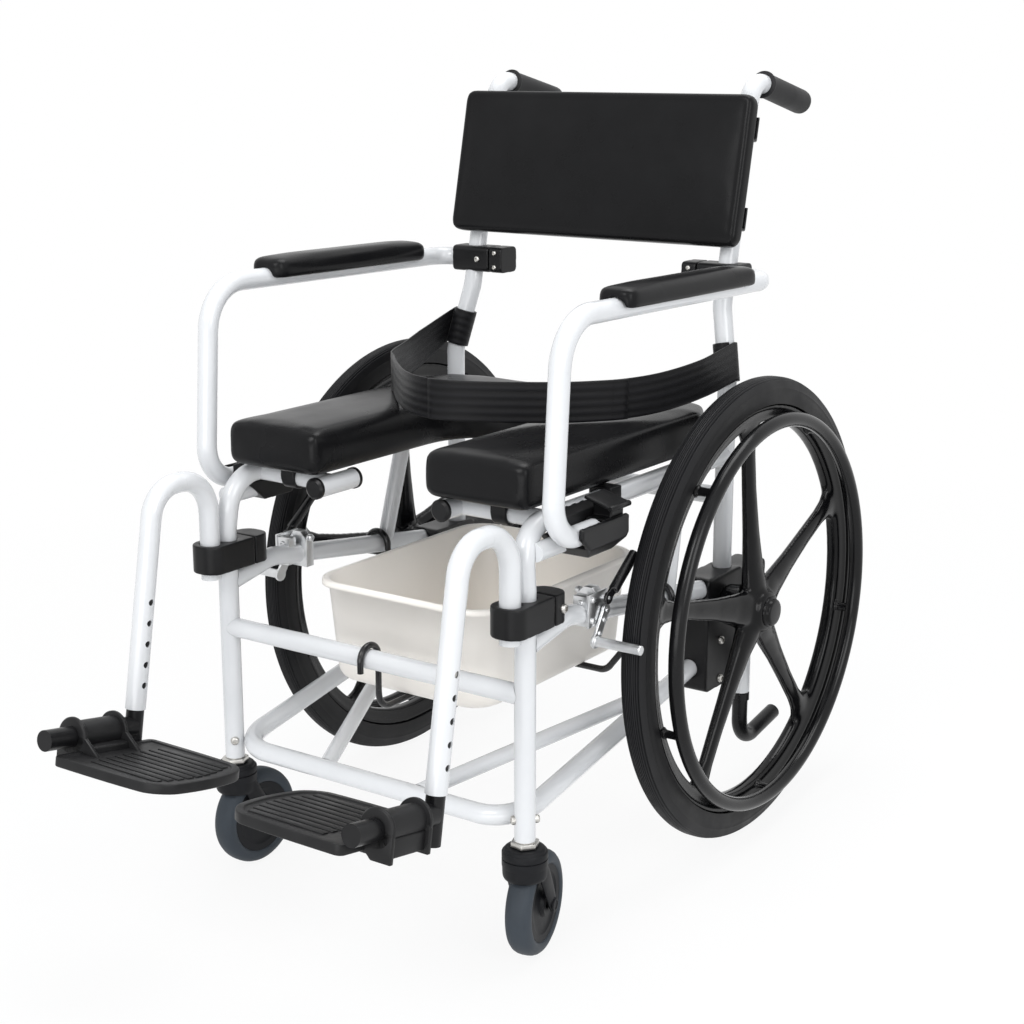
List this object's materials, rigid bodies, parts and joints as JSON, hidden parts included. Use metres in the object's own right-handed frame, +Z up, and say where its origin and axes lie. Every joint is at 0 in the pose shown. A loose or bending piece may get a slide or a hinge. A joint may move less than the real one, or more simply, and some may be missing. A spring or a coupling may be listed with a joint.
{
  "type": "self-propelled shower commode chair",
  "caption": "Self-propelled shower commode chair with open-front seat, flip-up arms, swing-away footrests, lap belt, sliding pan, large handrim wheels and front casters.",
  "frame": {"origin": "on the floor under the middle of the chair's bounding box", "axes": "+Z up, the chair faces -Y, +X is the user's left"},
  "size_m": [0.655, 1.0697, 0.9764],
  "materials": {
    "white_paint": "glossy white powder coat",
    "black_plastic": "moulded black plastic",
    "grip_rubber": "soft black vinyl",
    "pad_skin": "black self-skinned foam with a soft sheen",
    "steel": "zinc plated steel",
    "alloy": "bare cast aluminium",
    "webbing": "black woven nylon webbing",
    "coated_rod": "black dipped rod",
    "cream_plastic": "cream moulded plastic",
    "wheel_plastic": "black glass-filled plastic",
    "drive_tread": "black rubber",
    "rim_coat": "black coated tube",
    "hub_plastic": "dark plastic",
    "caster_tread": "grey-blue rubber",
    "black_coat": "black painted tube",
    "plate_plastic": "moulded black plastic",
    "lever_sleeve": "black dipped sleeve"
  },
  "bodies": {
    "frame": {"side_frames": "white_paint", "side_rails": "white_paint", "arm_stubs": "white_paint", "mid_cross": "white_paint", "lower_u": "white_paint", "braces": "white_paint", "rear_cross": "white_paint", "rear_posts": "white_paint", "struts": "white_paint", "seat_stubs": "white_paint", "end_caps": "black_plastic", "axle_blocks": "black_plastic", "axles": "steel", "hanger_blocks": "black_plastic", "frame_bolts": "steel", "canes": "white_paint", "grips": "grip_rubber", "back_pad": "pad_skin", "back_brackets": "black_plastic", "pivot_blocks": "black_plastic", "arm_sockets": "black_plastic", "caster_stems": "steel", "brake_clamps": "alloy", "belt": "webbing", "pan_rack": "coated_rod", "seat_pad": "pad_skin", "seat_clips": "black_plastic"},
    "wheel_l": {"drive_wheel_l": "wheel_plastic", "drive_tyre_l": "drive_tread", "push_rim_l": "rim_coat"},
    "caster_l": {"caster_fork_l": "black_plastic"},
    "caster_wheel_l": {"caster_hub_l": "hub_plastic", "caster_tyre_l": "caster_tread"},
    "arm_l": {"arm_tube_l": "white_paint", "arm_pad_l": "pad_skin"},
    "latch_l": {"arm_latch_l": "black_plastic"},
    "hanger_l": {"hanger_l": "white_paint"},
    "foot_l": {"foot_ext_l": "black_coat"},
    "button_l": {"foot_button_l": "steel"},
    "plate_l": {"footplate_l": "plate_plastic"},
    "brake_l": {"brake_lever_l": "lever_sleeve"},
    "shoe_l": {"brake_shoe_l": "alloy"},
    "antitip_l": {"antitip_l": "black_coat"},
    "wheel_r": {"drive_wheel_r": "wheel_plastic", "drive_tyre_r": "drive_tread", "push_rim_r": "rim_coat"},
    "caster_r": {"caster_fork_r": "black_plastic"},
    "caster_wheel_r": {"caster_hub_r": "hub_plastic", "caster_tyre_r": "caster_tread"},
    "arm_r": {"arm_tube_r": "white_paint", "arm_pad_r": "pad_skin"},
    "latch_r": {"arm_latch_r": "black_plastic"},
    "hanger_r": {"hanger_r": "white_paint"},
    "foot_r": {"foot_ext_r": "black_coat"},
    "button_r": {"foot_button_r": "steel"},
    "plate_r": {"footplate_r": "plate_plastic"},
    "brake_r": {"brake_lever_r": "lever_sleeve"},
    "shoe_r": {"brake_shoe_r": "alloy"},
    "antitip_r": {"antitip_r": "black_coat"},
    "pan": {"pan": "cream_plastic"}
  },
  "joints": [
    {"name": "wheel_l_spin", "type": "hinge", "parent": "frame", "child": "wheel_l", "pos_m": [0.283, 0.22137, 0.305], "axis": [1, 0, 0], "continuous": true},
    {"name": "caster_l_swivel", "type": "hinge", "parent": "frame", "child": "caster_l", "pos_m": [0.2285, -0.23032, 0.15768], "axis": [0, 0.0715, 0.9974], "continuous": true},
    {"name": "caster_l_roll", "type": "hinge", "parent": "caster_l", "child": "caster_wheel_l", "pos_m": [0.22153, -0.20677, 0.06375], "axis": [0.9744, 0.2244, -0.0161], "continuous": true},
    {"name": "arm_l_flip", "type": "hinge", "parent": "frame", "child": "arm_l", "pos_m": [0.262, 0.31181, 0.7226], "axis": [-1, 0, 0], "range_deg": [0, 100]},
    {"name": "arm_latch_l_press", "type": "hinge", "parent": "frame", "child": "latch_l", "pos_m": [0.262, -0.09, 0.50678], "axis": [-1, 0, 0], "range_deg": [0, 30], "stiffness_Nm_per_rad": 0.3, "springref_deg": -17.19},
    {"name": "hanger_l_swing", "type": "hinge", "parent": "frame", "child": "hanger_l", "pos_m": [0.2285, -0.24199, 0.41441], "axis": [0, 0.0715, 0.9974], "range_deg": [0, 90]},
    {"name": "foot_l_height", "type": "slide", "parent": "hanger_l", "child": "foot_l", "axis": [0, -0.247, -0.969], "range_m": [0, 0.1016]},
    {"name": "foot_button_l_press", "type": "slide", "parent": "foot_l", "child": "button_l", "axis": [-1, 0, 0], "range_m": [0, 0.004], "stiffness_N_per_m": 400},
    {"name": "footplate_l_flip", "type": "hinge", "parent": "foot_l", "child": "plate_l", "pos_m": [0.2285, -0.39553, 0.26358], "axis": [0, 0.969, -0.247], "range_deg": [0, 90]},
    {"name": "brake_l_lever", "type": "hinge", "parent": "frame", "child": "brake_l", "pos_m": [0.25, -0.07391, 0.40959], "axis": [1, 0, 0], "range_deg": [0, 45]},
    {"name": "brake_l_shoe", "type": "hinge", "parent": "frame", "child": "shoe_l", "pos_m": [0.248, -0.07306, 0.39348], "axis": [1, 0, 0], "range_deg": [0, 18.5]},
    {"name": "antitip_l_turn", "type": "hinge", "parent": "frame", "child": "antitip_l", "pos_m": [0.221, 0.31088, 0.14118], "axis": [0, 0.0715, 0.9974], "range_deg": [0, 180]},
    {"name": "wheel_r_spin", "type": "hinge", "parent": "frame", "child": "wheel_r", "pos_m": [-0.283, 0.22137, 0.305], "axis": [1, 0, 0], "continuous": true},
    {"name": "caster_r_swivel", "type": "hinge", "parent": "frame", "child": "caster_r", "pos_m": [-0.2285, -0.23032, 0.15768], "axis": [0, 0.0715, 0.9974], "continuous": true},
    {"name": "caster_r_roll", "type": "hinge", "parent": "caster_r", "child": "caster_wheel_r", "pos_m": [-0.22688, -0.20602, 0.0637], "axis": [0.9986, -0.0522, 0.0037], "continuous": true},
    {"name": "arm_r_flip", "type": "hinge", "parent": "frame", "child": "arm_r", "pos_m": [-0.262, 0.31181, 0.7226], "axis": [-1, 0, 0], "range_deg": [0, 100]},
    {"name": "arm_latch_r_press", "type": "hinge", "parent": "frame", "child": "latch_r", "pos_m": [-0.262, -0.09, 0.50678], "axis": [-1, 0, 0], "range_deg": [0, 30], "stiffness_Nm_per_rad": 0.3, "springref_deg": -17.19},
    {"name": "hanger_r_swing", "type": "hinge", "parent": "frame", "child": "hanger_r", "pos_m": [-0.2285, -0.24199, 0.41441], "axis": [0, -0.0715, -0.9974], "range_deg": [0, 90]},
    {"name": "foot_r_height", "type": "slide", "parent": "hanger_r", "child": "foot_r", "axis": [0, -0.247, -0.969], "range_m": [0, 0.1016]},
    {"name": "foot_button_r_press", "type": "slide", "parent": "foot_r", "child": "button_r", "axis": [1, 0, 0], "range_m": [0, 0.004], "stiffness_N_per_m": 400},
    {"name": "footplate_r_flip", "type": "hinge", "parent": "foot_r", "child": "plate_r", "pos_m": [-0.2285, -0.39553, 0.26358], "axis": [0, -0.969, 0.247], "range_deg": [0, 90]},
    {"name": "brake_r_lever", "type": "hinge", "parent": "frame", "child": "brake_r", "pos_m": [-0.25, -0.07391, 0.40959], "axis": [1, 0, 0], "range_deg": [0, 45]},
    {"name": "brake_r_shoe", "type": "hinge", "parent": "frame", "child": "shoe_r", "pos_m": [-0.248, -0.07306, 0.39348], "axis": [1, 0, 0], "range_deg": [0, 18.5]},
    {"name": "antitip_r_turn", "type": "hinge", "parent": "frame", "child": "antitip_r", "pos_m": [-0.221, 0.31088, 0.14118], "axis": [0, -0.0715, -0.9974], "range_deg": [0, 180]},
    {"name": "pan_pull", "type": "slide", "parent": "frame", "child": "pan", "axis": [0, 0.9974, -0.0715], "range_m": [0, 0.35]}
  ],
  "couplings": [
    {"joint": "brake_l_shoe", "follows": "brake_l_lever", "ratio": 0.41111},
    {"joint": "brake_r_shoe", "follows": "brake_r_lever", "ratio": 0.41111}
  ]
}
